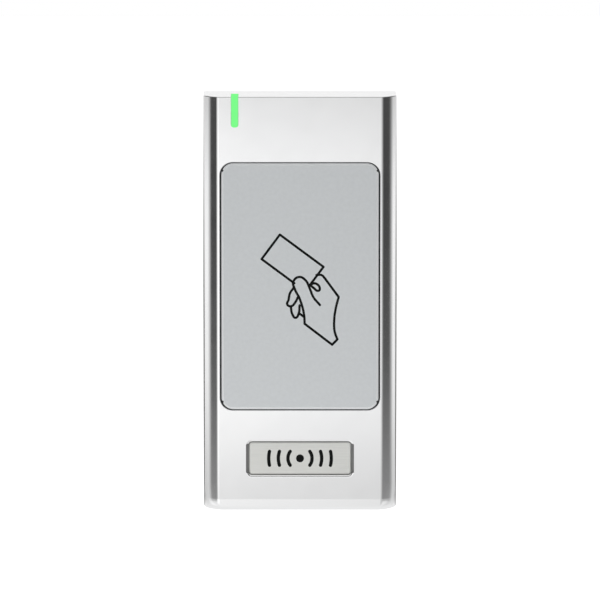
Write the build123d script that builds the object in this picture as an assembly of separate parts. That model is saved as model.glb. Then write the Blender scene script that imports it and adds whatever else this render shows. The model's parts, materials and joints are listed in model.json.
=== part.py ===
from build123d import *
import math
import os

# A slim wall-mounted RFID card reader. All sizes are in millimetres.
# X is to the right as a person faces the reader, +Y goes into the wall and +Z is up.
# The origin is the centre of the bracket's rear face, which lies on the wall plane y = 0.
# A pair of values is the low and the high end of a span, unless its comment says otherwise.

# Driving dimensions
HEIGHT = 103.9
WIDTH = 48.2
DEPTH = 19.0
FACE_WIDTH = 40.8        # the flat of the front, between the two curved flanks
FLANK_DEPTH = 4.6        # how far the flanks fall back from the front
FLANK_RADIUS = 7.5
SHADOW_GAP = 1.2         # between the housing's rim and the wall
FRONT_WALL = 2.6
PLATE = 1.2              # thickness of the bracket's plate
PLAY = 0.05              # gap around pieces that are bonded or pressed in

FRONT = -DEPTH
RIM = -SHADOW_GAP
TOP = 51.6
BOTTOM = TOP - HEIGHT
SIDE = WIDTH / 2

# Soft edges of the casting
FACE_SOFTENING = 1.3
SIDE_SOFTENING = 4.0
BOTTOM_ROUNDING = 3.2    # at the front, running out round the flanks
CORNER_ROUNDING = 0.9    # what is left of it at the sides
FACE_TAPER = 0.25        # the face's half-width lost for each millimetre that the rounding falls back
FLANK_SHIFT = 0.35       # how far the flanks' rear ends move back in the same way
FLANK_CURVE = (7.0, 20.0)    # the flanks' lower ends lean in: over this height, at this radius
ROUNDING_STEPS = 8
LEAN_STEPS = 3
TOP_ROUNDING = 0.3
TOP_REAR_CHAMFER = 1.5   # lets the top edge turn past the wall when the reader swings up

# The hollow of the casting, from the front to the rear
CAVITY_FRONT = FRONT + FRONT_WALL
CAVITY_HALF = 20.3
CAVITY_LOW = -43.4
CAVITY_HIGH = 47.5
SEAT_FRONT = -6.0        # the ledge that the back cover and its gasket close on
SEAT_REAR = -4.0
SEAT_HALF = 22.0
SEAT_LOW = -45.1
SEAT_HIGH = 49.3
SEAT_CORNER = 2.0
NEST_LOW = -49.0         # rear recess, down to the bottom wall, where the bracket's tab goes in
NEST_HIGH = -46.0        # top of the pockets in the bottom wall
TAB_POCKET_HALF = 6.5
TAB_POCKET_FRONT = -9.0
CORING_X = (8.0, 20.0)   # pockets that thin the bottom wall, one each side
CORING_FRONT = -14.0

# Card window
WINDOW_WIDTH = 39.8
WINDOW_HEIGHT = 62.0
WINDOW_CORNER = 3.2
WINDOW_Z = 4.2
WINDOW_POCKET = 1.6      # depth of the pocket
WINDOW_SIDE_GAP = 0.4
WINDOW_END_GAP = 0.25
WINDOW_RIM = 0.15
WINDOW_BEVEL = (0.5, 0.2)    # across the window's face, and back into its edge
WINDOW_NICK = (19.3, 28.9)   # x and z of the four prising nicks, from the window's middle
WINDOW_NICK_RADIUS = 0.32
SHELF = 2.7              # width of the ledge that the window is taped to
SHELF_CORNER = 2.0
TAPE = 0.2

# Name plate, in a pocket with a finger slot at each end
NAME_WIDTH = 25.7
NAME_HEIGHT = 8.3
NAME_CORNER = 0.95
NAME_Z = -38.9
NAME_POCKET = 1.1
NAME_GAP = 0.13
NAME_RIM = 0.6
NAME_BEVEL = 0.25
NAME_THICKNESS = 0.7
NAME_TAPE = 0.15
END_SLOTS = (26.9, 7.4)  # width over both slots, and height
END_SLOT_CORNER = 0.4

# Light pipe
PIPE_X = -16.2
PIPE_WIDTH = 1.8
PIPE_LOW = 43.9          # lower end of the bar on the front
PIPE_BACK = -11.4        # rear end of the bar on the top
PIPE_THICK = 2.5
PIPE_END_RADIUS = 0.7
STEM = (44.0, 46.0)      # the stem that collects the light
STEM_BACK = -13.6
STEM_HALF = 0.6
STEM_ROOT = 1.0          # how far the stem reaches into the bar

# Circuit board
BOARD = (-12.0, -10.4)   # front and rear faces
BOARD_HALF = 19.5
BOARD_Z = (-42.5, 46.0)
BOARD_CORNER = 1.0
BOARD_SCREWS = [(-10.5, 42.0), (10.5, 42.0), (-15.0, -30.5), (15.0, -30.5)]
BOARD_BOSS = 2.3
BOARD_SCREW_HOLE = 1.05
BOARD_SCREW_HOLE_END = -15.8
BOARD_SCREW = (1.0, 0.82, 0.4, 5.0)     # radius, root radius, pitch, length
BOARD_SCREW_HEAD = [(0.9, -1.1), (1.7, -0.9), (1.9, -0.5), (1.9, 0)]
BOARD_SCREW_CROSS = (1.9, 0.4, 0.7)     # length and width of the slots, depth
BOARD_HOLE = 1.15
BOSS_CLEARANCE = 0.25    # round the cover's bosses, which pass the board's edge

# Antenna coil behind the window, on its former
COIL_WIDTH = 33.5
COIL_HEIGHT = 50.0
COIL_BAND = 2.6
COIL_CORNER = 8.0
COIL = (-17.2, -15.2)
HUB_WALL = 1.2           # the former's wall inside the coil
HUB_FRONT = COIL[0] + 0.2
FLANGE_BAND = 5.2        # the former's flange behind the coil
FLANGE_THICK = 0.9
FORMER_LEG_RADIUS = 1.4
FORMER_LEGS = (COIL_WIDTH / 2 - 3.5, COIL_HEIGHT / 2 - 4.5)   # x and z from the window's middle
LEAD_X = (-1.5, 1.5)
LEAD_Z = WINDOW_Z - COIL_HEIGHT / 2 + COIL_BAND / 2
LEAD_RADIUS = 0.2
LEAD_HOLE = 0.45

# Chips: x, z, width, height, thickness, legs on the left and right, legs at the top and bottom
CHIPS = {
    "microcontroller": (-8.0, 3.0, 7.0, 7.0, 1.0, 8, 8),
    "reader_chip": (8.0, 0.0, 5.0, 5.0, 0.9, 6, 6),
    "driver_a": (-12.0, -22.0, 3.9, 4.9, 1.4, 4, 0),
    "driver_b": (12.0, -22.0, 3.9, 4.9, 1.4, 4, 0),
    "regulator": (12.5, -11.0, 3.5, 6.5, 1.6, 2, 0),
}
CHIP_STANDOFF = 0.1
CHIP_BEVEL = 0.15
DIMPLE_RADIUS = 0.3
DIMPLE_INSET = 0.9       # from the chip's two nearest edges
DIMPLE_DEPTH = 0.1
LEG_WIDTH = 0.3
LEG_REACH = 0.9
LEG_BEND = 0.4           # where the leg turns down
LEG_THICK = 0.15

# Other parts on the board: sizes are width, height and thickness
CRYSTAL_AT = (-9.0, -10.0)
CRYSTAL = (11.0, 4.6, 3.4)
CRYSTAL_SOFTENING = 0.4
CAPACITOR_X = -10.5
CAPACITOR_Z = (31.0, 24.5)   # the two cans' places
CAPACITOR_FOOT = (5.4, 5.4, 0.8)
CAPACITOR_RADIUS = 2.5
CAPACITOR_HEIGHT = 4.1
CAPACITOR_SOFTENING = 0.3
PASSIVE = (0.8, 1.6, 0.5)
PASSIVE_PITCH = 2.0
PASSIVE_ROWS = [(-8.0, 10.5, 4), (8.0, 6.5, 4), (-10.5, -27.0, 3), (10.5, -27.0, 3), (0.0, 38.0, 5)]
LED_Z = 45.0
LED_BODY = (1.6, 1.6, 0.6)
LED_LENS = (1.0, 1.2, 0.7)
BUZZER_AT = (9.5, 28.0)
BUZZER_RADIUS = 4.5
BUZZER_HEIGHT = 4.0
BUZZER_SOFTENING = 0.4
SOUND_HOLE_RADIUS = 0.9
SOUND_HOLE_DEPTH = 1.5
CONNECTOR_Z = -34.0
CONNECTOR = (15.0, 5.0, 4.1)
CONNECTOR_WALL = 0.7
CONNECTOR_FLOOR = 0.9
CONNECTOR_PITCH = 1.5
CONNECTOR_COUNT = 8
CONNECTOR_PIN = (0.5, 0.5, 2.8)
CONNECTOR_PIN_POINT = 0.12

# Back cover, its gasket and its screws
COVER_HALF = SEAT_HALF - 0.15
COVER_Z = (SEAT_LOW + 0.1, SEAT_HIGH - 0.1)
COVER_CORNER = SEAT_CORNER - 0.1
COVER_SCREWS = [(-17.3, 38.5), (17.3, 38.5), (-17.3, -39.5), (17.3, -39.5)]
COVER_BOSS = 3.1
COVER_SCREW_HOLE = 1.3
COVER_SCREW_HOLE_END = -13.0
COVER_SCREW = (1.25, 1.02, 0.45, 6.8)   # radius, root radius, pitch, length
COVER_SCREW_HEAD = 2.4
COVER_SCREW_CROSS = (2.6, 0.5, 1.0)
COVER_HOLE = 1.35
GASKET = 0.8
GASKET_MARGIN = 1.0      # from the edge of the cavity to the gasket's outside
GASKET_CORNERS = (1.2, 0.4)  # outer and inner radius

# Hanger: the pin in the back cover that lies in the bracket's two hooks
PIN_RADIUS = 0.9
HOOK_BORE = 0.98
HOOK_OUTER = HOOK_BORE + PLATE
PIN_Y = -HOOK_OUTER
PIN_Z = 47.3
PIN_HALF = 20.0
PIN_CHAMFER = 0.2
HOOKS = [(-15.0, -9.0), (9.0, 15.0)]
HOOK_LIP = 0.3           # how far the hooks rise above the pin's middle
HOOK_OVERLAP = 2.0       # how far their rear legs run down into the plate
LUGS = [(-20.0, -16.0), (-8.0, 8.0), (16.0, 20.0)]
LUG_RADIUS = 1.7
RELIEF_RADIUS = HOOK_OUTER + 0.17
RELIEF_SIDE = 0.3

# Wall bracket
BRACKET_HALF = 17.0
BRACKET_Z = (-48.7, 44.5)
BRACKET_CORNER = 3.0
WALL_HOLE_RADIUS = 2.1
WALL_HOLE_Z = 30.0
CABLE_Z = -14.0
CABLE_OPENING = (14.0, 18.0)     # width and height
CABLE_OPENING_CORNER = 3.0
TAB_HALF = 5.0
TAB_FRONT = -8.0
TAB_CORNER = 1.5
COLLAR_RADIUS = 2.6
COLLAR_TOP = -46.4

# Security screw, up through the bottom of the reader into the bracket's tab
SCREW_Y = -5.2
SCREW_RADIUS = 1.5
SCREW_ROOT = 1.25
SCREW_PITCH = 0.5
SCREW_HEAD_RADIUS = 2.6
SCREW_HEAD = (-52.0, -50.8)
SCREW_TIP = -46.4
DRIVE_RADIUS = 0.8       # the six-lobed recess: its core, its lobes and the pin left in its middle
DRIVE_LOBE = 0.3
DRIVE_PIN = 0.35
DRIVE_DEPTH = 0.75
SLOT_RADIUS = 1.7
HEAD_SLOT_RADIUS = 2.8
HEAD_SLOT_TOP = -50.7

# Tamper plunger, its spring and its switch
TAMPER_Z = 16.0
TAMPER_RADIUS = 1.6
TAMPER_ROUNDING = 0.4
TAMPER_COVER_HOLE = 1.68
TAMPER_PLATE_HOLE = 2.2
TAMPER_COLLAR = 2.4
COLLAR_Y = (-8.65, -7.85)
TAMPER_TIP = -0.05
TAMPER_BORE = 1.2
TAMPER_BORE_END = -4.65
SWITCH = (6.0, 6.0, 1.3)
SWITCH_BUTTON = 1.1
SWITCH_TOP = -8.7
SPRING_WIRE = 0.14       # radius of the wire
SPRING_RADIUS = 0.9
SPRING_PITCH = 0.75
SPRING_CLEARANCE = 0.05

# Cable grommet
GROMMET_BORE = 2.6
GROMMET_WAIST = 3.35
GROMMET_FLANGE = 4.5
GROMMET_LIP = 0.8
GROMMET_ROUNDING = 0.4


def block(x, y, z):
    """A block between the low and high value on each axis."""
    size = [high - low for low, high in (x, y, z)]
    centre = [(low + high) / 2 for low, high in (x, y, z)]
    return Pos(*centre) * Box(*size)


def rod_x(y, z, radius, x):
    """A round bar along X."""
    return Pos((x[0] + x[1]) / 2, y, z) * Rot(0, 90, 0) * Cylinder(radius, x[1] - x[0])


def rod_y(x, z, radius, y):
    """A round bar along Y."""
    return Pos(x, (y[0] + y[1]) / 2, z) * Rot(90, 0, 0) * Cylinder(radius, y[1] - y[0])


def rod_z(x, y, radius, z):
    """A round bar along Z."""
    return Pos(x, y, (z[0] + z[1]) / 2) * Cylinder(radius, z[1] - z[0])


def prism(outline, y):
    """A front-view outline, X right and Z up, pushed through a span of Y."""
    return extrude(Plane.XZ.offset(-y[1]) * outline, y[1] - y[0])


def side_prism(outline, x):
    """A side-view outline, Y and Z, pushed through a span of X."""
    return extrude(Plane.YZ.offset(x[0]) * outline, x[1] - x[0])


def pad(width, height, corner, z, y):
    """A rounded rectangle centred on x = 0 at height z, between two values of Y."""
    return prism(Pos(0, z) * RectangleRounded(width, height, corner), y)


def middle(span):
    return (span[0] + span[1]) / 2


def front_face(solid):
    return solid.faces().sort_by(Axis.Y)[0]


def rear_edges(solid):
    return solid.faces().sort_by(Axis.Y)[-1].edges()


def loop_edges(solid, y, half_width, half_height, z):
    """The edges that lie in the plane y, inside a rectangle centred on (0, z)."""
    found = []
    for edge in solid.edges():
        box = edge.bounding_box()
        in_plane = abs(box.min.Y - y) < 0.01 and abs(box.max.Y - y) < 0.01
        inside = max(abs(box.min.X), abs(box.max.X)) < half_width + 0.01
        if in_plane and inside and abs(edge.center().Z - z) < half_height + 0.01:
            found.append(edge)
    return found


def screw(sizes, head):
    """A screw along +Z from z = 0, with ring threads, and a head profile below z = 0."""
    radius, root, pitch, length = sizes
    profile = [(0, head[0][1])] + head + [(radius, 0)]
    for turn in range(int(length / pitch)):
        start = turn * pitch
        profile += [(root, start + pitch / 2), (radius, start + pitch)]
    profile += [(root * 0.8, length), (0, length)]
    outline = make_face(Plane.XZ * Polyline(*profile, close=True))
    return revolve(outline, Axis.Z)


def cross_recess(length, width, depth):
    """The tool that cuts a cross drive, from z = 0 up to the depth."""
    arm = Pos(0, 0, depth / 2) * Box(length, width, depth)
    return arm + Rot(0, 0, 90) * arm


def fall_back(radius, height):
    """How far a quarter-round of the radius has fallen back at a height above its lowest line."""
    rest = max(radius - height, 0)
    return radius - math.sqrt(radius ** 2 - rest ** 2)


def plan_outline(height):
    """The casting seen from above, at a height above its underside."""
    drop = fall_back(BOTTOM_ROUNDING, height)
    lean = max(FLANK_CURVE[0] - height, 0) ** 2 / FLANK_CURVE[1]
    front = FRONT + drop
    side = SIDE - fall_back(CORNER_ROUNDING, height)
    half_face = FACE_WIDTH / 2 - FACE_TAPER * drop
    flank_end = FRONT + FLANK_DEPTH + FLANK_SHIFT * drop + lean

    plan = Line((-half_face, front), (half_face, front))
    plan += RadiusArc((half_face, front), (side, flank_end), -FLANK_RADIUS)
    plan += Polyline((side, flank_end), (side, RIM), (-side, RIM), (-side, flank_end))
    plan += RadiusArc((-side, flank_end), (-half_face, front), -FLANK_RADIUS)
    plan = make_face(plan)
    at_face = [v for v in plan.vertices() if abs(v.Y - front) < 0.01]
    plan = fillet(at_face, FACE_SOFTENING)
    at_side = [v for v in plan.vertices() if abs(v.Y - flank_end) < 0.01 and abs(v.X) > side - 0.01]
    return fillet(at_side, SIDE_SOFTENING)


def lofted(heights):
    return loft([Pos(0, 0, BOTTOM + height) * plan_outline(height) for height in heights])


def casting_outside():
    """The outer form: an extruded plan whose lower end leans in and is rounded off."""
    quarter = [math.pi / 2 * step / ROUNDING_STEPS for step in range(ROUNDING_STEPS + 1)]
    curved = FLANK_CURVE[0]
    rise = (curved - BOTTOM_ROUNDING) / LEAN_STEPS
    body = lofted([BOTTOM_ROUNDING * (1 - math.cos(angle)) for angle in quarter])
    body += lofted([BOTTOM_ROUNDING + rise * step for step in range(LEAN_STEPS + 1)])
    body += extrude(Pos(0, 0, BOTTOM + curved) * plan_outline(curved), HEIGHT - curved)

    chamfer_y = RIM - SHADOW_GAP
    corner = Polyline((RIM, TOP - TOP_REAR_CHAMFER), (RIM, TOP), (chamfer_y, TOP), close=True)
    body -= side_prism(make_face(corner), (-WIDTH, WIDTH))

    top_edges = [e for e in body.edges()
                 if e.bounding_box().min.Z > TOP - 0.01 and e.center().Y < chamfer_y - 0.01]
    return fillet(top_edges, TOP_ROUNDING)


def light_guide(grow):
    """The L-shaped light pipe; with a positive grow, the slot that it is bonded into."""
    half = PIPE_WIDTH / 2 + grow
    low = PIPE_LOW - grow
    leg_back = CAVITY_FRONT - 2 * PLAY + 2 * grow
    top_low = TOP - PIPE_THICK - grow
    reach = 1.0 if grow else 0.0
    front_leg = prism(Pos(PIPE_X, (low + TOP + reach) / 2) * Rectangle(2 * half, TOP + reach - low),
                      (FRONT - reach, leg_back))
    ends = [e for e in front_leg.edges().filter_by(Axis.Y) if e.center().Z < low + 0.01]
    front_leg = fillet(ends, PIPE_END_RADIUS + grow)
    top_leg = block((PIPE_X - half, PIPE_X + half), (FRONT - reach, PIPE_BACK + grow),
                    (top_low, TOP + reach))
    return front_leg + top_leg


def slot_to_rear(radius, z):
    """The tool that cuts a U-shaped slot, open to the rear, around the security screw."""
    return rod_z(0, SCREW_Y, radius, z) + block((-radius, radius), (SCREW_Y, 0), z)


def rear_recesses():
    """What is cut into the casting from behind: the cavity, the cover's seat and the bottom pockets."""
    cavity = block((-CAVITY_HALF, CAVITY_HALF), (CAVITY_FRONT, SEAT_FRONT), (CAVITY_LOW, CAVITY_HIGH))
    tools = [cavity]
    for low, front in ((SEAT_LOW, SEAT_FRONT), (NEST_LOW, SEAT_REAR)):
        tools.append(pad(2 * SEAT_HALF, SEAT_HIGH - low, SEAT_CORNER, middle((low, SEAT_HIGH)), (front, 0)))
    pocket_z = (NEST_LOW, NEST_HIGH)
    tools.append(block((-TAB_POCKET_HALF, TAB_POCKET_HALF), (TAB_POCKET_FRONT, SEAT_REAR), pocket_z))
    for side in (-1, 1):
        tools.append(block(sorted(side * x for x in CORING_X), (CORING_FRONT, SEAT_REAR), pocket_z))
    return tools


def window_opening(y):
    """The opening inside the ledge that the window is taped to."""
    return pad(WINDOW_WIDTH - 2 * SHELF, WINDOW_HEIGHT - 2 * SHELF, SHELF_CORNER, WINDOW_Z, y)


def name_end_slots(y):
    """One wide low pad: where it passes the name plate's ends it makes the two finger slots."""
    return pad(END_SLOTS[0], END_SLOTS[1], END_SLOT_CORNER, NAME_Z, y)


def front_housing():
    body = casting_outside()
    for tool in rear_recesses():
        body -= tool
    body -= slot_to_rear(SLOT_RADIUS, (BOTTOM - 1, NEST_LOW + 1))
    body -= slot_to_rear(HEAD_SLOT_RADIUS, (BOTTOM - 1, HEAD_SLOT_TOP))

    body -= pad(WINDOW_WIDTH, WINDOW_HEIGHT, WINDOW_CORNER, WINDOW_Z,
                (FRONT - 1, FRONT + WINDOW_POCKET))
    body = fillet(loop_edges(body, FRONT, WINDOW_WIDTH / 2, WINDOW_HEIGHT / 2, WINDOW_Z), WINDOW_RIM)
    body -= window_opening((FRONT, CAVITY_FRONT + 1))

    name_y = (FRONT - 1, FRONT + NAME_POCKET)
    body -= pad(NAME_WIDTH, NAME_HEIGHT, NAME_CORNER, NAME_Z, name_y)
    body = fillet(loop_edges(body, FRONT, NAME_WIDTH / 2, NAME_HEIGHT / 2, NAME_Z), NAME_RIM)
    body -= name_end_slots(name_y)

    body -= light_guide(PLAY)

    bosses = [rod_y(x, z, COVER_BOSS, (CAVITY_FRONT, SEAT_FRONT)) for x, z in COVER_SCREWS]
    bosses += [rod_y(x, z, BOARD_BOSS, (CAVITY_FRONT, BOARD[0])) for x, z in BOARD_SCREWS]
    for boss in bosses:
        body += boss
    for x, z in COVER_SCREWS:
        body -= rod_y(x, z, COVER_SCREW_HOLE, (COVER_SCREW_HOLE_END, SEAT_FRONT))
    for x, z in BOARD_SCREWS:
        body -= rod_y(x, z, BOARD_SCREW_HOLE, (BOARD_SCREW_HOLE_END, BOARD[0]))
    return body


def reader_window():
    plate = pad(WINDOW_WIDTH - 2 * WINDOW_SIDE_GAP, WINDOW_HEIGHT - 2 * WINDOW_END_GAP,
                WINDOW_CORNER - WINDOW_END_GAP, WINDOW_Z, (FRONT, FRONT + WINDOW_POCKET - TAPE))
    face = front_face(plate)
    plate = chamfer(face.edges(), WINDOW_BEVEL[0], WINDOW_BEVEL[1], reference=face)
    for side in (-1, 1):
        for end in (-1, 1):
            plate -= rod_y(side * WINDOW_NICK[0], WINDOW_Z + end * WINDOW_NICK[1],
                           WINDOW_NICK_RADIUS, (FRONT, 0))
    return plate


def window_adhesive():
    """A black frame of foam tape that fills the pocket's ledge."""
    span = (FRONT + WINDOW_POCKET - TAPE, FRONT + WINDOW_POCKET)
    return pad(WINDOW_WIDTH, WINDOW_HEIGHT, WINDOW_CORNER, WINDOW_Z, span) - window_opening(span)


def name_plate():
    back = FRONT + NAME_POCKET - NAME_TAPE
    plate = pad(NAME_WIDTH - 2 * NAME_GAP, NAME_HEIGHT - 2 * NAME_GAP, NAME_CORNER - NAME_GAP, NAME_Z,
                (back - NAME_THICKNESS, back))
    return chamfer(front_face(plate).edges(), NAME_BEVEL)


def name_plate_adhesive():
    """Black tape over the whole floor of the pocket, finger slots included."""
    span = (FRONT + NAME_POCKET - NAME_TAPE, FRONT + NAME_POCKET)
    return pad(NAME_WIDTH, NAME_HEIGHT, NAME_CORNER, NAME_Z, span) + name_end_slots(span)


def light_pipe():
    """Lit from behind through its stem; its front and top faces are flush with the casting."""
    pipe = light_guide(0)
    pipe += block((PIPE_X - STEM_HALF, PIPE_X + STEM_HALF), (CAVITY_FRONT - STEM_ROOT, STEM_BACK), STEM)
    crest = [e for e in pipe.edges().filter_by(Axis.X)
             if e.center().Z > TOP - 0.01 and e.center().Y < FRONT + 0.01]
    return fillet(crest, TOP_ROUNDING)


def coil_ring(inset, y, band):
    """A racetrack-shaped ring behind the window, inside the coil's outline by the inset."""
    rings = []
    for step in (inset, inset + band):
        rings.append(pad(COIL_WIDTH - 2 * step, COIL_HEIGHT - 2 * step, COIL_CORNER - step, WINDOW_Z, y))
    return rings[0] - rings[1]


def antenna_coil():
    return coil_ring(0, COIL, COIL_BAND)


def coil_former():
    """A flat frame that the coil is wound on, with four legs that stand on the board."""
    frame = coil_ring(COIL_BAND + PLAY, (HUB_FRONT, COIL[1]), HUB_WALL)
    frame += coil_ring(0, (COIL[1], COIL[1] + FLANGE_THICK), FLANGE_BAND)
    for side in (-1, 1):
        for end in (-1, 1):
            frame += rod_y(side * FORMER_LEGS[0], WINDOW_Z + end * FORMER_LEGS[1], FORMER_LEG_RADIUS,
                           (COIL[1], BOARD[0]))
    for x in LEAD_X:
        frame -= rod_y(x, LEAD_Z, LEAD_HOLE, (COIL[1], 0))
    return frame


def coil_leads():
    return [rod_y(x, LEAD_Z, LEAD_RADIUS, (COIL[1], BOARD[0])) for x in LEAD_X]


def circuit_board():
    """The board is cut away round the cover's bosses, out to its nearest side."""
    board = pad(2 * BOARD_HALF, BOARD_Z[1] - BOARD_Z[0], BOARD_CORNER, middle(BOARD_Z), BOARD)
    through = (BOARD[0] - 1, BOARD[1] + 1)
    notch = COVER_BOSS + BOSS_CLEARANCE
    for x, z in COVER_SCREWS:
        edge_x = (BOARD_HALF + 1) * (1 if x > 0 else -1)
        board -= rod_y(x, z, notch, through)
        board -= block(sorted((x, edge_x)), through, (z - notch, z + notch))
    for x, z in BOARD_SCREWS:
        board -= rod_y(x, z, BOARD_HOLE, through)
    return board


def on_board(x, z, size, lift=0.0):
    """A block on the rear of the board, lifted off it by the given gap."""
    width, height, thickness = size
    return block((x - width / 2, x + width / 2), (BOARD[1] + lift, BOARD[1] + lift + thickness),
                 (z - height / 2, z + height / 2))


def chip(name):
    """A moulded chip with a dimple that marks its first leg."""
    x, z, width, height, thickness = CHIPS[name][:5]
    body = on_board(x, z, (width, height, thickness), CHIP_STANDOFF)
    body = chamfer(rear_edges(body), CHIP_BEVEL)
    back = BOARD[1] + CHIP_STANDOFF + thickness
    return body - rod_y(x - width / 2 + DIMPLE_INSET, z + height / 2 - DIMPLE_INSET, DIMPLE_RADIUS,
                        (back - DIMPLE_DEPTH, back))


def leg(x, z, turn, lift):
    """One bent leg: out of the chip's side, down, and flat on the board."""
    step = Polyline((0, lift), (LEG_BEND, lift), (LEG_BEND, LEG_THICK), (LEG_REACH, LEG_THICK),
                    (LEG_REACH, 0), (LEG_BEND - LEG_THICK, 0), (LEG_BEND - LEG_THICK, lift - LEG_THICK),
                    (0, lift - LEG_THICK), close=True)
    solid = extrude(make_face(step), LEG_WIDTH / 2, both=True)
    return Pos(x, BOARD[1], z) * Rot(0, turn, 0) * solid


def chip_leads():
    legs = []
    for x, z, width, height, thickness, side_legs, end_legs in CHIPS.values():
        lift = CHIP_STANDOFF + thickness / 2
        for i in range(side_legs):
            at = z + (i - (side_legs - 1) / 2) * height / side_legs
            legs.append(leg(x + width / 2, at, 0, lift))
            legs.append(leg(x - width / 2, at, 180, lift))
        for i in range(end_legs):
            at = x + (i - (end_legs - 1) / 2) * width / end_legs
            legs.append(leg(at, z - height / 2, 90, lift))
            legs.append(leg(at, z + height / 2, 270, lift))
    return legs


def crystal():
    width, height, thickness = CRYSTAL
    can = prism(Pos(*CRYSTAL_AT) * SlotOverall(width, height), (BOARD[1], BOARD[1] + thickness))
    return fillet(rear_edges(can), CRYSTAL_SOFTENING)


def smoothing_capacitors():
    """Round cans on square plastic feet."""
    cans = []
    for z in CAPACITOR_Z:
        foot = on_board(CAPACITOR_X, z, CAPACITOR_FOOT)
        span = (BOARD[1] + CAPACITOR_FOOT[2], BOARD[1] + CAPACITOR_HEIGHT)
        can = rod_y(CAPACITOR_X, z, CAPACITOR_RADIUS, span)
        cans.append(foot + fillet(rear_edges(can), CAPACITOR_SOFTENING))
    return cans


def chip_passives():
    """Rows of chip resistors and capacitors beside the larger parts."""
    bits = []
    for x, z, count in PASSIVE_ROWS:
        for i in range(count):
            bits.append(on_board(x + (i - (count - 1) / 2) * PASSIVE_PITCH, z, PASSIVE))
    return bits


def status_led():
    """On the board's front, behind the light pipe's stem."""
    body = on_board(PIPE_X, LED_Z, LED_BODY, BOARD[0] - BOARD[1] - LED_BODY[2])
    lens = on_board(PIPE_X, LED_Z, LED_LENS, BOARD[0] - BOARD[1] - LED_BODY[2] - LED_LENS[2])
    return body + lens


def buzzer():
    x, z = BUZZER_AT
    back = BOARD[1] + BUZZER_HEIGHT
    body = rod_y(x, z, BUZZER_RADIUS, (BOARD[1], back))
    body = fillet(rear_edges(body), BUZZER_SOFTENING)
    return body - rod_y(x, z, SOUND_HOLE_RADIUS, (back - SOUND_HOLE_DEPTH, back))


def cable_connector():
    """A shrouded plug-in connector, open to the rear."""
    width, height, thickness = CONNECTOR
    inside = (width - 2 * CONNECTOR_WALL, height - 2 * CONNECTOR_WALL, thickness)
    return on_board(0, CONNECTOR_Z, CONNECTOR) - on_board(0, CONNECTOR_Z, inside, CONNECTOR_FLOOR)


def connector_pins():
    pins = []
    for i in range(CONNECTOR_COUNT):
        x = (i - (CONNECTOR_COUNT - 1) / 2) * CONNECTOR_PITCH
        pin = on_board(x, CONNECTOR_Z, CONNECTOR_PIN, CONNECTOR_FLOOR)
        pins.append(chamfer(rear_edges(pin), CONNECTOR_PIN_POINT))
    return pins


def board_screws():
    """Pan-head screws through the board into the casting's bosses."""
    made = screw(BOARD_SCREW, BOARD_SCREW_HEAD)
    made -= Pos(0, 0, BOARD_SCREW_HEAD[0][1]) * cross_recess(*BOARD_SCREW_CROSS)
    return [Pos(x, BOARD[1], z) * Rot(90, 0, 0) * made for x, z in BOARD_SCREWS]


def gasket_ring():
    span = (SEAT_FRONT, SEAT_FRONT + GASKET)
    rings = []
    for margin, corner in zip((GASKET_MARGIN, GASKET_MARGIN - GASKET), GASKET_CORNERS):
        rings.append(pad(2 * (CAVITY_HALF + margin), CAVITY_HIGH - CAVITY_LOW + 2 * margin, corner,
                         middle((CAVITY_LOW, CAVITY_HIGH)), span))
    return rings[0] - rings[1]


def back_cover():
    """A flat cover with lugs that carry the hanger pin and reliefs that the bracket's hooks turn in."""
    cover = pad(2 * COVER_HALF, COVER_Z[1] - COVER_Z[0], COVER_CORNER, middle(COVER_Z),
                (SEAT_FRONT, SEAT_REAR))
    for low, high in LUGS:
        cover += rod_x(PIN_Y, PIN_Z, LUG_RADIUS, (low, high))
        cover += block((low, high), (SEAT_REAR, PIN_Y), (PIN_Z - LUG_RADIUS, PIN_Z + LUG_RADIUS))
    for low, high in HOOKS:
        cover -= rod_x(PIN_Y, PIN_Z, RELIEF_RADIUS, (low - RELIEF_SIDE, high + RELIEF_SIDE))
    cover -= rod_x(PIN_Y, PIN_Z, PIN_RADIUS, (-PIN_HALF, PIN_HALF))
    cover -= gasket_ring()
    mouth = COVER_SCREW_HEAD + PLAY
    drop = mouth - COVER_HOLE
    for x, z in COVER_SCREWS:
        cover -= rod_y(x, z, COVER_HOLE, (SEAT_FRONT, SEAT_REAR))
        cover -= Pos(x, SEAT_REAR - drop / 2, z) * Rot(-90, 0, 0) * Cone(COVER_HOLE, mouth, drop)
    cover -= rod_y(0, CABLE_Z, GROMMET_WAIST, (SEAT_FRONT, SEAT_REAR))
    cover -= rod_y(0, TAMPER_Z, TAMPER_COVER_HOLE, (SEAT_FRONT, SEAT_REAR))
    return cover


def cover_screws():
    """Countersunk screws, flush with the cover's rear face."""
    drop = COVER_SCREW_HEAD - COVER_SCREW[0]
    made = screw(COVER_SCREW, [(COVER_SCREW_HEAD, -drop)])
    made -= Pos(0, 0, -drop) * cross_recess(*COVER_SCREW_CROSS)
    return [Pos(x, SEAT_REAR - drop, z) * Rot(90, 0, 0) * made for x, z in COVER_SCREWS]


def cable_grommet():
    """A soft ring with a lip on each side of the cover."""
    rear = SEAT_REAR + GROMMET_LIP
    front = SEAT_FRONT - GROMMET_LIP
    ring = rod_y(0, CABLE_Z, GROMMET_WAIST, (front, rear))
    for y in ((SEAT_REAR, rear), (front, SEAT_FRONT)):
        ring += rod_y(0, CABLE_Z, GROMMET_FLANGE, y)
    rims = [e for e in ring.edges().filter_by(GeomType.CIRCLE)
            if e.radius > GROMMET_FLANGE - 0.01 and not front + 0.01 < e.center().Y < rear - 0.01]
    ring = fillet(rims, GROMMET_ROUNDING)
    return ring - rod_y(0, CABLE_Z, GROMMET_BORE, (front, rear))


def tamper_switch():
    button = rod_y(0, TAMPER_Z, SWITCH_BUTTON, (BOARD[1] + SWITCH[2], SWITCH_TOP))
    return on_board(0, TAMPER_Z, SWITCH) + button


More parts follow.
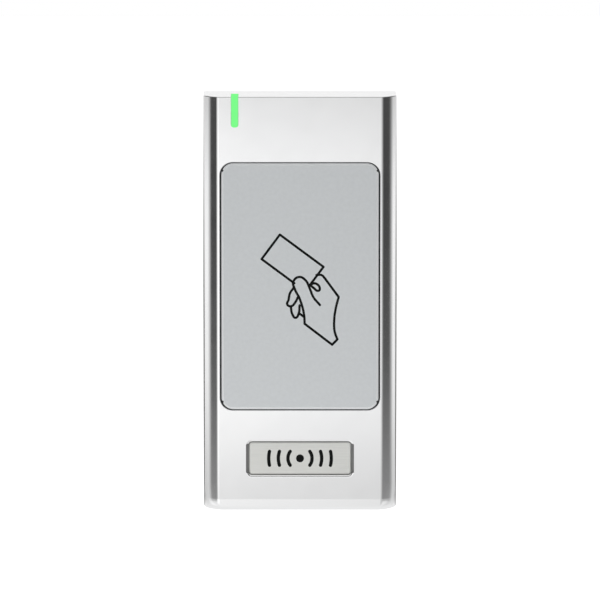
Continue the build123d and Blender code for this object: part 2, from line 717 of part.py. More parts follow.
def tamper_pin():
    """A plunger: its tip feels the wall and its collar is held behind the cover."""
    pin = rod_y(0, TAMPER_Z, TAMPER_RADIUS, (COLLAR_Y[0], TAMPER_TIP))
    pin = fillet(rear_edges(pin), TAMPER_ROUNDING)
    pin += rod_y(0, TAMPER_Z, TAMPER_COLLAR, COLLAR_Y)
    return pin - rod_y(0, TAMPER_Z, TAMPER_BORE, (COLLAR_Y[0], TAMPER_BORE_END))


def tamper_spring():
    """An open coil between the switch and the end of the plunger's bore."""
    end_gap = SPRING_WIRE + SPRING_CLEARANCE
    length = TAMPER_BORE_END - SWITCH_TOP - 2 * end_gap
    path = Helix(pitch=SPRING_PITCH, height=length, radius=SPRING_RADIUS)
    wire = Plane(origin=path @ 0, z_dir=path % 0) * Circle(SPRING_WIRE)
    coil = sweep(wire, path=path, is_frenet=True)
    return Pos(0, SWITCH_TOP + end_gap, TAMPER_Z) * Rot(-90, 0, 0) * coil


def hanger_pin():
    pin = rod_x(PIN_Y, PIN_Z, PIN_RADIUS, (-PIN_HALF, PIN_HALF))
    return chamfer(pin.edges().filter_by(GeomType.CIRCLE), PIN_CHAMFER)


def hook(x):
    """One upward hook: a half ring under the pin, its rear leg part of the plate."""
    lip_top = PIN_Z + HOOK_LIP
    leg_low = BRACKET_Z[1] - HOOK_OVERLAP
    outer = Pos(PIN_Y, PIN_Z) * Circle(HOOK_OUTER)
    outer &= Pos(PIN_Y, PIN_Z - HOOK_OUTER / 2) * Rectangle(2 * HOOK_OUTER, HOOK_OUTER)
    outer += Pos(PIN_Y, middle((PIN_Z, lip_top))) * Rectangle(2 * HOOK_OUTER, HOOK_LIP)
    outer += Pos(-PLATE / 2, middle((leg_low, lip_top))) * Rectangle(PLATE, lip_top - leg_low)
    outer -= Pos(PIN_Y, PIN_Z) * Circle(HOOK_BORE)
    outer -= Pos(PIN_Y, PIN_Z + HOOK_OUTER / 2) * Rectangle(2 * HOOK_BORE, HOOK_OUTER)
    return side_prism(outer, x)


def wall_bracket():
    """A plate with two hooks at the top and a threaded tab at the bottom."""
    plate = pad(2 * BRACKET_HALF, BRACKET_Z[1] - BRACKET_Z[0], BRACKET_CORNER, middle(BRACKET_Z),
                (-PLATE, 0))
    for x in HOOKS:
        plate += hook(x)
    tab_z = (BRACKET_Z[0], BRACKET_Z[0] + PLATE)
    tab = block((-TAB_HALF, TAB_HALF), (TAB_FRONT, 0), tab_z)
    corners = [e for e in tab.edges().filter_by(Axis.Z) if e.center().Y < TAB_FRONT + 0.01]
    plate += fillet(corners, TAB_CORNER)
    plate += rod_z(0, SCREW_Y, COLLAR_RADIUS, (tab_z[0], COLLAR_TOP))
    plate -= rod_z(0, SCREW_Y, SCREW_RADIUS + PLAY, (tab_z[0] - 1, COLLAR_TOP + 1))
    for z in (-WALL_HOLE_Z, WALL_HOLE_Z):
        plate -= rod_y(0, z, WALL_HOLE_RADIUS, (-PLATE, 0))
    plate -= rod_y(0, TAMPER_Z, TAMPER_PLATE_HOLE, (-PLATE, 0))
    plate -= pad(CABLE_OPENING[0], CABLE_OPENING[1], CABLE_OPENING_CORNER, CABLE_Z, (-PLATE, 0))
    return plate


def security_screw():
    """A button-head machine screw with a six-lobed drive and a pin in its middle."""
    height = SCREW_HEAD[1] - SCREW_HEAD[0]
    head = [(0.65 * SCREW_HEAD_RADIUS, -height), (0.88 * SCREW_HEAD_RADIUS, -0.75 * height),
            (SCREW_HEAD_RADIUS, -0.3 * height), (SCREW_HEAD_RADIUS, 0)]
    made = screw((SCREW_RADIUS, SCREW_ROOT, SCREW_PITCH, SCREW_TIP - SCREW_HEAD[1]), head)
    drive = Circle(DRIVE_RADIUS)
    for lobe in range(6):
        drive += Rot(0, 0, lobe * 60) * Pos(DRIVE_RADIUS, 0) * Circle(DRIVE_LOBE)
    drive -= Circle(DRIVE_PIN)
    made -= extrude(Plane.XY.offset(-height) * drive, DRIVE_DEPTH)
    return Pos(0, SCREW_Y, SCREW_HEAD[1]) * made


PIECES = {
    "front_housing": front_housing,
    "reader_window": reader_window,
    "window_adhesive": window_adhesive,
    "name_plate": name_plate,
    "name_plate_adhesive": name_plate_adhesive,
    "light_pipe": light_pipe,
    "antenna_coil": antenna_coil,
    "coil_former": coil_former,
    "coil_leads": coil_leads,
    "circuit_board": circuit_board,
    "microcontroller": lambda: chip("microcontroller"),
    "reader_chip": lambda: chip("reader_chip"),
    "driver_chips": lambda: [chip("driver_a"), chip("driver_b")],
    "voltage_regulator": lambda: chip("regulator"),
    "chip_leads": chip_leads,
    "crystal": crystal,
    "smoothing_capacitors": smoothing_capacitors,
    "chip_passives": chip_passives,
    "status_led": status_led,
    "buzzer": buzzer,
    "cable_connector": cable_connector,
    "connector_pins": connector_pins,
    "tamper_switch": tamper_switch,
    "board_screws": board_screws,
    "back_cover": back_cover,
    "cover_gasket": gasket_ring,
    "cover_screws": cover_screws,
    "cable_grommet": cable_grommet,
    "tamper_pin": tamper_pin,
    "tamper_spring": tamper_spring,
    "hanger_pin": hanger_pin,
    "wall_bracket": wall_bracket,
    "security_screw": security_screw,
}

os.makedirs("parts", exist_ok=True)
for name, make in PIECES.items():
    piece = make()
    solids = piece if isinstance(piece, list) else list(piece.solids())
    shape = solids[0] if len(solids) == 1 else Compound(children=solids)
    export_step(shape, f"parts/{name}.step")
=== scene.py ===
import json
import math

import bmesh
import bpy
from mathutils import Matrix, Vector


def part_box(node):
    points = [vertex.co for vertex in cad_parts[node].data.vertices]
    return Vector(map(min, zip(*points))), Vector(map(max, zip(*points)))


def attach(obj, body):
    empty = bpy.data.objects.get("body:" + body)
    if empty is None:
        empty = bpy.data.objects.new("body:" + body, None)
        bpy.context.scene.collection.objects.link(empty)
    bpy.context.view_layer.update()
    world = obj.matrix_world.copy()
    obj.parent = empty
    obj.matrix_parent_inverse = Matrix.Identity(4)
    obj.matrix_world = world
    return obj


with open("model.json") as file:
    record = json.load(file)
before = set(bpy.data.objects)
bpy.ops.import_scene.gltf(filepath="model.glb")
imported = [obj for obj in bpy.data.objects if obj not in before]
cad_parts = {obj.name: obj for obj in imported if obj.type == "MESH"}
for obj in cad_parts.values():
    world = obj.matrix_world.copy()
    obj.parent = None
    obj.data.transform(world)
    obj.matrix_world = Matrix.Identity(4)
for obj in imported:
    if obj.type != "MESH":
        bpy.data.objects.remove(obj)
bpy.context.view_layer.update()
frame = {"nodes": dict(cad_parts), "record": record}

MM = 0.001
MICRON = 1e-6

# ------------------------------------------------------------------ node helpers

WHITE = (1, 1, 1)


class Finish:
    """A material under construction: a Principled shader, and helpers that add nodes to it."""

    def __init__(self, name, colour=WHITE, metallic=0.0, roughness=0.5):
        self.material = bpy.data.materials.new(name)
        self.material.use_nodes = True
        self.tree = self.material.node_tree
        self.principled = self.tree.nodes["Principled BSDF"]
        self.set("Base Color", (*colour, 1))
        self.set("Metallic", metallic)
        self.set("Roughness", roughness)
        coordinates = self.add("ShaderNodeTexCoord")
        self.place = coordinates.outputs["Object"]
        self.normal = coordinates.outputs["Normal"]

    def set(self, socket, value):
        self.principled.inputs[socket].default_value = value

    def add(self, kind, **settings):
        node = self.tree.nodes.new(kind)
        for key, value in settings.items():
            setattr(node, key, value)
        return node

    def link(self, a, b):
        self.tree.links.new(a, b)

    def parts(self, vector):
        """A vector's X, Y and Z outputs."""
        node = self.add("ShaderNodeSeparateXYZ")
        self.link(vector, node.inputs[0])
        return node.outputs

    def compute(self, operation, *values):
        """A sum on numbers or on other nodes' outputs."""
        node = self.add("ShaderNodeMath", operation=operation)
        for socket, value in zip(node.inputs, values):
            if isinstance(value, (int, float)):
                socket.default_value = value
            else:
                self.link(value, socket)
        return node.outputs[0]

    def blend(self, mask, below, above):
        """The first value where the mask is 0, the second where it is 1."""
        change = self.compute("MULTIPLY", self.compute("SUBTRACT", above, below), mask)
        return self.compute("ADD", below, change)

    def profile(self, value, points):
        """A value read off a line through (input, output) points, in order of their inputs."""
        low, high = points[0][0], points[-1][0]
        node = self.add("ShaderNodeValToRGB")
        stops = node.color_ramp.elements
        while len(stops) < len(points):
            stops.new(0.5)
        for stop, (at, level) in zip(stops, points):
            stop.position = (at - low) / (high - low)
            stop.color = (level, level, level, 1)
        along = self.compute("DIVIDE", self.compute("SUBTRACT", value, low), high - low)
        self.link(along, node.inputs["Fac"])
        return node.outputs["Color"]

    def stretched(self, scale, turn=(0, 0, 0)):
        """Object coordinates, in metres, multiplied by a scale on each axis and then turned."""
        node = self.add("ShaderNodeMapping", vector_type="POINT")
        node.inputs["Scale"].default_value = scale
        node.inputs["Rotation"].default_value = turn
        self.link(self.place, node.inputs["Vector"])
        return node.outputs[0]

    def noise(self, size, detail=2.0, stretch=(1, 1, 1)):
        """Noise whose features are about this size, in metres."""
        node = self.add("ShaderNodeTexNoise")
        node.inputs["Scale"].default_value = 1.0
        node.inputs["Detail"].default_value = detail
        self.link(self.stretched([s / size for s in stretch]), node.inputs["Vector"])
        return node.outputs["Fac"]

    def cells(self, size):
        """Distance to the nearest of many scattered points, about this far apart."""
        node = self.add("ShaderNodeTexVoronoi")
        node.inputs["Scale"].default_value = 1.0
        self.link(self.stretched([1 / size] * 3), node.inputs["Vector"])
        return node.outputs["Distance"]

    def spread(self, value, low, high, start=0.3, end=0.7):
        """A number from low to high as the value goes from start to end."""
        node = self.add("ShaderNodeMapRange")
        node.inputs["From Min"].default_value = start
        node.inputs["From Max"].default_value = end
        node.inputs["To Min"].default_value = low
        node.inputs["To Max"].default_value = high
        self.link(value, node.inputs["Value"])
        return node.outputs[0]

    def mix(self, factor, second):
        """A colour mix that ends in the second colour, with its first one left to be set or linked."""
        node = self.add("ShaderNodeMix", data_type="RGBA")
        node.inputs["B"].default_value = (*second, 1)
        self.link(factor, node.inputs["Factor"])
        return node.inputs["A"], node.outputs["Result"]

    def vary_colour(self, value, low, high, start=0.3, end=0.7, socket="Base Color"):
        """Colour from the first to the second as the value goes from start to end."""
        first, result = self.mix(self.spread(value, 0, 1, start, end), high)
        first.default_value = (*low, 1)
        self.link(result, self.principled.inputs[socket])

    def painted_edge_highlight(self, colour, flat, turned):
        """A painted highlight: a second base colour that takes over as the normal's Y goes from flat to
        turned.
        """
        base = self.principled.inputs["Base Color"]
        away = self.spread(self.parts(self.normal)["Y"], 0, 1, flat, turned)
        first, result = self.mix(away, colour)
        self.link(base.links[0].from_socket, first)
        self.link(result, base)

    def vary_roughness(self, value, low, high, start=0.3, end=0.7):
        self.link(self.spread(value, low, high, start, end), self.principled.inputs["Roughness"])

    def bump(self, layers):
        """Bumps from (value, depth in metres) layers, one on another."""
        normal = None
        for value, depth in layers:
            node = self.add("ShaderNodeBump")
            node.inputs["Distance"].default_value = depth
            self.link(value, node.inputs["Height"])
            if normal is not None:
                self.link(normal, node.inputs["Normal"])
            normal = node.outputs["Normal"]
        self.link(normal, self.principled.inputs["Normal"])


# ------------------------------------------------------------------ camera, light and floor

CAMERA_DISTANCE = 1.65
CAMERA_ELEVATION = 6.64        # degrees
CAMERA_CLIP = (0.05, 50)
FRAME_WIDTH = 149.07 * MM      # how much the frame takes in at the reader's face
SENSOR_WIDTH = 36.0            # the camera's own unit, millimetres
AIM_ABOVE_CENTRE = 1.2 * MM

FLOOR_Z = -1.4                 # a wall reader hangs well above the floor
FLOOR_SIZE = 40.0
FLOOR_GREY = 0.9
FLOOR_GLOW = 0.6


def face_centre():
    low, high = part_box("front_housing")
    return Vector((0, low.y, (low.z + high.z) / 2))


def make_camera():
    data = bpy.data.cameras.new("camera")
    data.sensor_width = SENSOR_WIDTH
    data.lens = SENSOR_WIDTH * CAMERA_DISTANCE / FRAME_WIDTH
    data.clip_start, data.clip_end = CAMERA_CLIP
    camera = bpy.data.objects.new("camera", data)
    bpy.context.collection.objects.link(camera)
    rise = math.radians(CAMERA_ELEVATION)
    away = Vector((0, -math.cos(rise), math.sin(rise)))
    aim = face_centre() + Vector((0, 0, AIM_ABOVE_CENTRE))
    camera.location = aim + away * CAMERA_DISTANCE
    camera.rotation_mode = "QUATERNION"
    camera.rotation_quaternion = (-away).to_track_quat("-Z", "Y")
    bpy.context.scene.camera = camera


def make_world():
    """A plain white studio."""
    world = bpy.data.worlds.new("studio")
    bpy.context.scene.world = world
    world.use_nodes = True
    background = world.node_tree.nodes["Background"]
    background.inputs["Color"].default_value = (*WHITE, 1)
    background.inputs["Strength"].default_value = 1.0
    bpy.context.scene.view_settings.view_transform = "Standard"


TENT_RADIUS = 0.30
TENT_Z = (-0.28, 0.25)
TENT_SIDES = 96

# brightness against height in metres: in front of the reader, on the dark cards, at its sides, behind it
FRONT_GLOW = [(-0.28, 0.93), (-0.15, 0.95), (-0.115, 0.82), (-0.095, 0.68), (-0.078, 0.88), (-0.067, 1.08),
              (0.005, 1.10), (0.03, 0.86), (0.055, 0.6), (0.08, 0.15), (0.25, 0.06)]
DARK_GLOW = [(-0.28, 0.92), (-0.19, 0.84), (-0.157, 0.64), (-0.139, 0.46), (-0.12, 0.385), (-0.09, 0.27),
             (-0.05, 0.095), (0.0, 0.055), (0.03, 0.07), (0.25, 0.05)]
SIDE_GLOW = [(-0.28, 0.9), (-0.16, 0.8), (-0.085, 0.65), (-0.06, 0.95), (-0.03, 1.06), (0.0, 1.03),
             (0.025, 0.72), (0.06, 0.3), (0.1, 0.12), (0.25, 0.1)]
REAR_GLOW = [(-0.28, 0.93), (-0.15, 0.9), (-0.09, 0.30), (-0.065, 0.05), (-0.03, 0.04), (-0.004, 0.45),
             (0.02, 0.85), (0.07, 0.95), (0.25, 0.95)]
# how far each zone has taken over, against the angle from straight in front, in degrees
DARK_ZONE = [(0, 0), (24, 0), (60, 1), (86, 1), (107, 0), (180, 0)]
SIDE_ZONE = [(0, 0), (84, 0), (108, 1), (180, 1)]
REAR_ZONE = [(0, 0), (122, 0), (136, 1), (180, 1)]
FRONT_SLOPE = 2.4              # the front's glow falls off to the right, per metre


def make_light_tent():
    """A drum of glowing cloth round the reader, open at the top, with a dark card on each side."""
    bm = bmesh.new()
    rings = []
    turns = [2 * math.pi * i / TENT_SIDES for i in range(TENT_SIDES)]
    for z in TENT_Z:
        rings.append([bm.verts.new((TENT_RADIUS * math.sin(t), TENT_RADIUS * math.cos(t), z)) for t in turns])
    for i in range(TENT_SIDES):
        j = (i + 1) % TENT_SIDES
        bm.faces.new((rings[0][i], rings[0][j], rings[1][j], rings[1][i]))
    bm.faces.new(rings[0])
    mesh = bpy.data.meshes.new("light_tent")
    bm.to_mesh(mesh)
    bm.free()
    tent = bpy.data.objects.new("light_tent", mesh)
    bpy.context.collection.objects.link(tent)

    s = Finish("light_tent")
    x, y, z = s.parts(s.place)
    turned = s.compute("ARCTAN2", s.compute("ABSOLUTE", x), s.compute("MULTIPLY", y, -1.0))
    angle = s.compute("DEGREES", turned)
    slope = s.compute("SUBTRACT", 1.0, s.compute("MULTIPLY", x, FRONT_SLOPE))
    front = s.compute("MULTIPLY", s.profile(z, FRONT_GLOW), slope)
    glow = s.blend(s.profile(angle, SIDE_ZONE), front, s.profile(z, SIDE_GLOW))
    glow = s.blend(s.profile(angle, DARK_ZONE), glow, s.profile(z, DARK_GLOW))
    glow = s.blend(s.profile(angle, REAR_ZONE), glow, s.profile(z, REAR_GLOW))
    emission = s.add("ShaderNodeEmission")
    s.link(glow, emission.inputs["Strength"])
    s.link(emission.outputs[0], s.tree.nodes["Material Output"].inputs["Surface"])
    s.tree.nodes.remove(s.principled)
    mesh.materials.append(s.material)
    tent.visible_camera = False


def make_floor():
    mesh = bpy.data.meshes.new("floor")
    h = FLOOR_SIZE / 2
    corners = [(-h, -h, FLOOR_Z), (h, -h, FLOOR_Z), (h, h, FLOOR_Z), (-h, h, FLOOR_Z)]
    mesh.from_pydata(corners, [], [(0, 1, 2, 3)])
    floor = bpy.data.objects.new("floor", mesh)
    bpy.context.collection.objects.link(floor)
    f = Finish("floor", (FLOOR_GREY,) * 3, roughness=0.9)
    f.set("Emission Color", (*WHITE, 1))
    f.set("Emission Strength", FLOOR_GLOW)
    mesh.materials.append(f.material)


# ------------------------------------------------------------------ materials


def shade(colour, factor):
    return tuple(min(1.0, c * factor) for c in colour)


def chromed_zinc():
    """Satin plating over a fine cast skin."""
    f = Finish("chromed_zinc", (0.87, 0.872, 0.875), metallic=1.0, roughness=0.17)
    f.vary_colour(f.noise(30 * MM), (0.86, 0.863, 0.868), (0.88, 0.881, 0.882))
    f.vary_roughness(f.noise(4 * MM, detail=4), 0.15, 0.19)
    f.bump([(f.noise(0.35 * MM, detail=3), 0.4 * MICRON), (f.noise(9 * MM), 6 * MICRON)])
    return f.material


def window_plastic():
    """Matt grey plastic with a fine spark-eroded texture, and a painted highlight on its bevel."""
    grey = (0.84, 0.87, 0.885)
    f = Finish("window_plastic", grey, roughness=0.55)
    f.set("Specular IOR Level", 0.35)
    f.vary_colour(f.noise(0.9 * MM, detail=5), shade(grey, 0.975), shade(grey, 1.02))
    # painted highlight: the bevel, where the normal turns away from the front, takes a paler base colour
    f.painted_edge_highlight((0.97, 0.99, 1.0), flat=-0.99, turned=-0.95)
    f.vary_roughness(f.noise(1.5 * MM, detail=3), 0.48, 0.6)
    f.bump([(f.cells(0.12 * MM), 3 * MICRON), (f.noise(0.3 * MM, detail=3), 3 * MICRON)])
    return f.material


def plate_metal():
    """Satin metal, finely brushed from side to side."""
    tone = (0.76, 0.765, 0.735)
    f = Finish("plate_metal", tone, metallic=0.6, roughness=0.38)
    brushing = f.noise(0.25 * MM, detail=3, stretch=(0.03, 1, 1))
    f.vary_colour(brushing, shade(tone, 0.96), shade(tone, 1.03))
    f.vary_roughness(f.noise(2 * MM), 0.33, 0.42)
    f.bump([(brushing, 0.6 * MICRON)])
    return f.material


def light_pipe():
    """Clear plastic lit green from inside, a little paler along its edges."""
    f = Finish("light_pipe", (0.02, 0.06, 0.025), roughness=0.35)
    f.set("Specular IOR Level", 0.0)
    f.set("Emission Strength", 1.0)
    low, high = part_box("light_pipe")
    middle = (low.x + high.x) / 2
    half = (high.x - low.x) / 2
    pale_from = 0.72 * half
    off_middle = f.compute("ABSOLUTE", f.compute("SUBTRACT", f.parts(f.place)["X"], middle))
    f.vary_colour(off_middle, (0.195, 0.95, 0.25), (0.27, 0.76, 0.31), pale_from, half, "Emission Color")
    f.bump([(f.noise(0.5 * MM), 1 * MICRON)])
    return f.material


# Foam tape whose dark tones also stand in for shade: part real tape, part painted shade in the gaps it lines
def tape_and_gap_shade(name, dark, grey, pale):
    f = Finish(name, (grey,) * 3, roughness=0.9)
    f.vary_colour(f.cells(0.15 * MM), (dark,) * 3, (pale,) * 3)
    f.bump([(f.cells(0.15 * MM), 20 * MICRON)])
    return f.material


def foam_tape():
    # painted shade: this black tape also fills the bottom of the window's gap, a dark sheet where the gap's
    # shade falls
    return tape_and_gap_shade("foam_tape", 0.08, 0.10, 0.12)


def grey_tape():
    # painted shade: this grey tape lines the floor of a narrow slot, toned to stand in for the shaded casting
    # there
    return tape_and_gap_shade("grey_tape", 0.27, 0.30, 0.34)


def copper_wire():
    """Enamelled wire: fine turns side by side, amber under the lacquer."""
    copper = (0.70, 0.27, 0.10)
    f = Finish("copper_wire", copper, metallic=0.9, roughness=0.3)
    turns = f.noise(0.18 * MM, detail=1, stretch=(0.3, 1, 0.3))
    f.vary_colour(turns, shade(copper, 0.7), shade(copper, 1.15))
    f.set("Coat Weight", 0.6)
    f.set("Coat Roughness", 0.12)
    f.bump([(turns, 30 * MICRON)])
    return f.material


def natural_nylon():
    f = Finish("natural_nylon", (0.74, 0.72, 0.63), roughness=0.45)
    f.set("Subsurface Weight", 0.15)
    f.set("Subsurface Scale", 0.5 * MM)
    f.vary_colour(f.noise(3 * MM, detail=4), (0.71, 0.69, 0.60), (0.77, 0.75, 0.66))
    f.vary_roughness(f.noise(1 * MM, detail=3), 0.38, 0.52)
    f.bump([(f.noise(0.25 * MM, detail=3), 2 * MICRON)])
    return f.material


def board_laminate():
    """Green solder mask, paler where copper tracks run under it."""
    f = Finish("board_laminate", (0.01, 0.14, 0.05), roughness=0.3)
    tracks = f.add("ShaderNodeTexBrick")
    units_per_metre = 700
    for key, value in (("Scale", 1.0), ("Mortar Size", 0.09), ("Brick Width", 3.1), ("Row Height", 0.8)):
        tracks.inputs[key].default_value = value
    f.link(f.stretched((units_per_metre,) * 3, (math.pi / 2, 0, 0)), tracks.inputs["Vector"])
    f.vary_colour(tracks.outputs["Fac"], (0.008, 0.12, 0.045), (0.03, 0.24, 0.09), 0, 1)
    f.vary_roughness(f.noise(2 * MM), 0.22, 0.34)
    f.bump([(tracks.outputs["Fac"], 18 * MICRON), (f.noise(0.6 * MM), 3 * MICRON)])
    return f.material


def black_moulding():
    """Moulded black resin, nearly matt."""
    f = Finish("black_moulding", (0.012, 0.012, 0.013), roughness=0.5)
    f.set("Specular IOR Level", 0.3)
    f.vary_colour(f.noise(0.5 * MM, detail=4), (0.009, 0.009, 0.010), (0.016, 0.016, 0.017))
    f.vary_roughness(f.noise(0.8 * MM, detail=3), 0.42, 0.58)
    f.bump([(f.noise(0.1 * MM, detail=2), 1.5 * MICRON)])
    return f.material


def tinned_legs():
    f = Finish("tinned_legs", (0.72, 0.72, 0.70), metallic=1.0, roughness=0.3)
    f.vary_colour(f.noise(0.7 * MM, detail=3), (0.66, 0.66, 0.65), (0.77, 0.77, 0.75))
    f.vary_roughness(f.noise(0.3 * MM, detail=3), 0.22, 0.42)
    f.bump([(f.noise(0.2 * MM), 2 * MICRON)])
    return f.material


def ceramic_chips():
    f = Finish("ceramic_chips", (0.40, 0.30, 0.20), roughness=0.5)
    f.vary_colour(f.noise(1.6 * MM), (0.30, 0.22, 0.15), (0.50, 0.42, 0.32))
    f.bump([(f.noise(0.1 * MM), 4 * MICRON)])
    return f.material


def led_body():
    f = Finish("led_body", (0.86, 0.86, 0.82), roughness=0.35)
    f.vary_colour(f.noise(0.6 * MM), (0.82, 0.83, 0.78), (0.90, 0.90, 0.87))
    f.set("Coat Weight", 0.4)
    return f.material


def gold_pins():
    gold = (0.90, 0.62, 0.24)
    f = Finish("gold_pins", gold, metallic=1.0, roughness=0.25)
    f.vary_colour(f.noise(0.4 * MM), shade(gold, 0.9), shade(gold, 1.05))
    f.bump([(f.noise(0.15 * MM), 1 * MICRON)])
    return f.material


def zinc_passivated(name, tone, blue, stretch):
    """Bright zinc plating with its faint blue-to-straw bloom over rolled or turned steel."""
    f = Finish(name, tone, metallic=1.0, roughness=0.34)
    bloom = f.noise(7 * MM, detail=3)
    f.vary_colour(bloom, shade(tone, 0.95), blue, 0.35, 0.7)
    rolling = f.noise(0.3 * MM, detail=3, stretch=stretch)
    f.vary_roughness(f.noise(2.5 * MM, detail=4), 0.31, 0.37)
    f.bump([(rolling, 1.2 * MICRON), (f.noise(0.7 * MM, detail=2), 0.6 * MICRON)])
    return f.material


def zinc_steel():
    return zinc_passivated("zinc_steel", (0.66, 0.67, 0.68), (0.62, 0.65, 0.72), (1, 1, 1))


def zinc_plate():
    return zinc_passivated("zinc_plate", (0.62, 0.625, 0.61), (0.56, 0.60, 0.66), (1, 1, 0.04))


def black_cover():
    """Black plastic with a fine leather-like mould texture."""
    f = Finish("black_cover", (0.022, 0.022, 0.024), roughness=0.5)
    f.vary_colour(f.noise(6 * MM, detail=4), (0.018, 0.018, 0.020), (0.028, 0.028, 0.030))
    f.vary_roughness(f.noise(2 * MM, detail=3), 0.42, 0.58)
    f.bump([(f.cells(0.35 * MM), 14 * MICRON), (f.noise(0.2 * MM, detail=2), 4 * MICRON)])
    return f.material


def black_rubber():
    f = Finish("black_rubber", (0.025, 0.025, 0.025), roughness=0.7)
    f.set("Sheen Weight", 0.15)
    f.vary_colour(f.noise(1.2 * MM, detail=4), (0.020, 0.020, 0.020), (0.034, 0.034, 0.033))
    f.vary_roughness(f.noise(0.8 * MM, detail=3), 0.62, 0.8)
    f.bump([(f.noise(0.3 * MM, detail=3), 5 * MICRON)])
    return f.material


def spring_steel():
    f = Finish("spring_steel", (0.55, 0.55, 0.55), metallic=1.0, roughness=0.3)
    f.vary_colour(f.noise(0.4 * MM), (0.48, 0.48, 0.49), (0.60, 0.60, 0.60))
    f.bump([(f.noise(0.1 * MM), 1 * MICRON)])
    return f.material


def stainless_steel():
    """Turned stainless steel with small scuffs."""
    f = Finish("stainless_steel", (0.63, 0.625, 0.615), metallic=1.0, roughness=0.28)
    f.vary_colour(f.noise(1.5 * MM, detail=3), (0.60, 0.595, 0.585), (0.66, 0.655, 0.65))
    f.vary_roughness(f.noise(0.5 * MM, detail=4), 0.2, 0.36)
    f.bump([(f.noise(0.12 * MM, detail=2), 1 * MICRON)])
    return f.material


def printing_ink():
    """Flat black screen ink with a little tooth."""
    f = Finish("printing_ink", (0.008, 0.009, 0.009), roughness=0.7)
    f.set("Specular IOR Level", 0.08)
    f.vary_colour(f.noise(0.3 * MM, detail=3), (0.006, 0.007, 0.007), (0.011, 0.012, 0.012))
    f.bump([(f.noise(0.15 * MM, detail=2), 1 * MICRON)])
    return f.material


MATERIALS = {
    "chromed_zinc": chromed_zinc, "window_plastic": window_plastic, "plate_metal": plate_metal,
    "light_pipe": light_pipe, "foam_tape": foam_tape, "grey_tape": grey_tape, "copper_wire": copper_wire,
    "natural_nylon": natural_nylon, "board_laminate": board_laminate, "black_moulding": black_moulding,
    "tinned_legs": tinned_legs, "ceramic_chips": ceramic_chips, "led_body": led_body,
    "gold_pins": gold_pins, "zinc_steel": zinc_steel, "zinc_plate": zinc_plate,
    "black_cover": black_cover, "black_rubber": black_rubber, "spring_steel": spring_steel,
    "stainless_steel": stainless_steel,
}


def dress_cad_nodes():
    """Gives every CAD node the finished material of its slot in the record."""
    materials = {slot: make() for slot, make in MATERIALS.items()}
    for part in frame["record"]["subparts"]:
        node = frame["nodes"][part["node"]]
        node.data.materials.clear()
        node.data.materials.append(materials[part["material_slot"]])


BROKEN_EDGES = {"wall_bracket": 0.12 * MM, "back_cover": 0.1 * MM}
BROKEN_FROM = 40               # degrees that an edge has to turn by


def break_edges():
    """Small bevels that catch the light on pieces whose edges would otherwise be razor-sharp."""
    for name, width in BROKEN_EDGES.items():
        bevel = frame["nodes"][name].modifiers.new("broken_edges", "BEVEL")
        bevel.width = width
        bevel.segments = 2
        bevel.limit_method = "ANGLE"
        bevel.angle_limit = math.radians(BROKEN_FROM)


# ------------------------------------------------------------------ printed marks

INK = 0.02 * MM                # how far the ink stands proud
PEN_FACETS = 4                 # per quarter of a stroke's tube
PEN_STEPS = 10                 # between two points of a stroke
DOT_SIDES = 16
DOT_RINGS = 10


def add_stroke(bm, points, width):
    """Adds one pen stroke, still a round tube, through front-view points (x, z) in millimetres."""
    data = bpy.data.curves.new("stroke", "CURVE")
    data.dimensions = "3D"
    data.bevel_depth = width * MM / 2
    data.bevel_resolution = PEN_FACETS
    data.resolution_u = PEN_STEPS
    data.use_fill_caps = True
    spline = data.splines.new("BEZIER")
    spline.bezier_points.add(len(points) - 1)
    for point, (x, z) in zip(spline.bezier_points, points):
        point.co = (x * MM, 0, z * MM)
        point.handle_left_type = point.handle_right_type = "AUTO"
    holder = bpy.data.objects.new("stroke", data)
    bpy.context.collection.objects.link(holder)
    bpy.context.view_layer.update()
    mesh = bpy.data.meshes.new_from_object(holder.evaluated_get(bpy.context.evaluated_depsgraph_get()))
    bm.from_mesh(mesh)
    bpy.data.objects.remove(holder)
    bpy.data.curves.remove(data)
    bpy.data.meshes.remove(mesh)


def printed(name, width, face_y, centre, lines=(), curves=(), dots=()):
    """Joins straight lines, smooth curves and dots (x, z, radius) into a thin film of ink on a face."""
    bm = bmesh.new()
    dots = list(dots)
    for points in curves:
        add_stroke(bm, points, width)
        dots += [(*points[0], width / 2), (*points[-1], width / 2)]
    for points in lines:
        for pair in zip(points, points[1:]):
            add_stroke(bm, pair, width)
        dots += [(*point, width / 2) for point in points]
    for x, z, radius in dots:
        made = bmesh.ops.create_uvsphere(bm, u_segments=DOT_SIDES, v_segments=DOT_RINGS, radius=radius * MM)
        bmesh.ops.translate(bm, verts=made["verts"], vec=(x * MM, 0, z * MM))
    widest = max(abs(v.co.y) for v in bm.verts)
    for v in bm.verts:
        v.co.y = face_y + v.co.y / widest * INK
        v.co.x += centre[0]
        v.co.z += centre[1]
    mesh = bpy.data.meshes.new(name)
    bm.to_mesh(mesh)
    bm.free()
    for polygon in mesh.polygons:
        polygon.use_smooth = True
    obj = bpy.data.objects.new(name, mesh)
    bpy.context.collection.objects.link(obj)
    mesh.materials.append(printing_ink())
    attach(obj, "reader")


# the pictogram's line and card, in millimetres and degrees
PEN = 0.6
CARD_TILT = -36.6
CARD_CENTRE = (-1.85, 10.1)
CARD_HALF_LENGTH = 6.75
CARD_HALF_WIDTH = 3.8


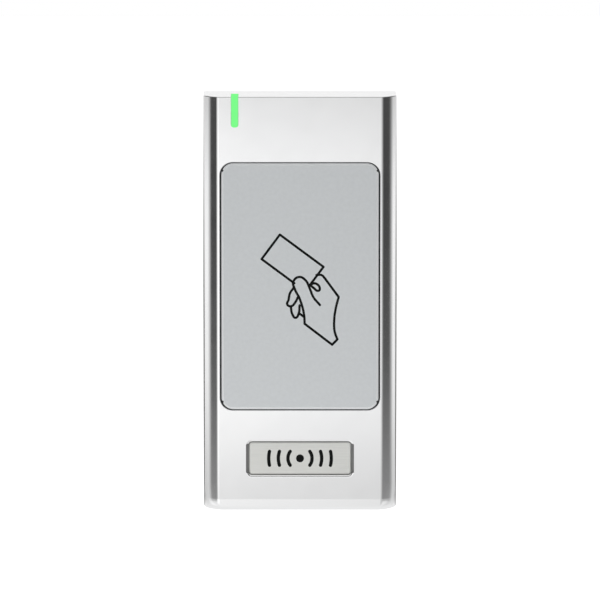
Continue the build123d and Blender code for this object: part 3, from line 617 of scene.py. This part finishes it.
def card_pictogram():
    """A hand that holds a card out, drawn with one even line."""
    tilt = math.radians(CARD_TILT)
    along = Vector((math.cos(tilt), math.sin(tilt)))
    across = Vector((-math.sin(tilt), math.cos(tilt)))

    def on_card(u, v):
        return tuple(Vector(CARD_CENTRE) + along * (u * CARD_HALF_LENGTH) + across * (v * CARD_HALF_WIDTH))

    card = [on_card(0.5, -1), on_card(-1, -1), on_card(-1, 1), on_card(1, 1), on_card(1, -0.45)]
    thumb = [(-0.2, 1.5), (-1.3, 3.6), (-1.65, 5.4), (-0.25, 6.6), (1.3, 5.85), (2.4, 3.8), (3.3, 1.6),
             (4.95, -0.4)]
    wrist_side = [(-0.2, 1.5), (0.6, -0.9), (1.05, -3.2), (1.15, -5.1)]
    cuff = [(1.15, -5.1), (8.0, -10.35), (9.3, -9.0)]
    back_of_hand = [(9.3, -9.0), (8.65, -7.2), (8.5, -4.2), (8.9, -1.2), (9.6, 1.6)]
    knuckle = [(9.6, 1.6), (6.15, 6.3)]
    forefinger = [(6.15, 6.3), (5.4, 7.05), (4.1, 7.1)]
    fingertip = [(2.5, 4.7), (3.95, 4.95), (4.9, 3.5), (4.5, 3.15), (3.4, 3.85), (2.5, 4.65)]
    middle_finger = [(-1.6, 3.9), (-2.55, 2.4), (-2.85, 0.9), (-3.15, -0.3), (-2.2, -0.7), (-1.1, 0.4),
                     (-0.5, 1.6)]
    ring_finger = [(-2.3, -0.7), (-1.9, -2.7), (-1.1, -3.6), (-0.35, -2.6), (-0.1, -0.5)]
    little_finger = [(-0.2, -2.5), (0.9, -3.3)]
    lines = [card, cuff, knuckle, little_finger]
    curves = [thumb, wrist_side, back_of_hand, forefinger, fingertip, middle_finger, ring_finger]
    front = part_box("reader_window")[0].y
    printed("card_pictogram", PEN, front, (0, 0), lines=lines, curves=curves)


# the mark's line, arcs and dot, in millimetres
MARK_PEN = 0.85
MARK_HALF_HEIGHT = 1.75
MARK_RADII = (3.0, 5.4, 7.8)
MARK_DOT_RADIUS = 1.0
MARK_STEPS = 4                 # points on each half of an arc


def radio_mark():
    """A dot with widening arcs on both sides: the usual sign for a radio field."""
    arcs = []
    for radius in MARK_RADII:
        reach = math.asin(MARK_HALF_HEIGHT / radius)
        for side in (-1, 1):
            angles = [reach * t / MARK_STEPS for t in range(-MARK_STEPS, MARK_STEPS + 1)]
            arcs.append([(side * radius * math.cos(a), radius * math.sin(a)) for a in angles])
    low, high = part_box("name_plate")
    centre = (0, (low.z + high.z) / 2)
    printed("radio_field_mark", MARK_PEN, low.y, centre, curves=arcs, dots=[(0, 0, MARK_DOT_RADIUS)])


# ------------------------------------------------------------------ the scene

make_camera()
make_world()
make_light_tent()
make_floor()
dress_cad_nodes()
break_edges()
card_pictogram()
radio_mark()
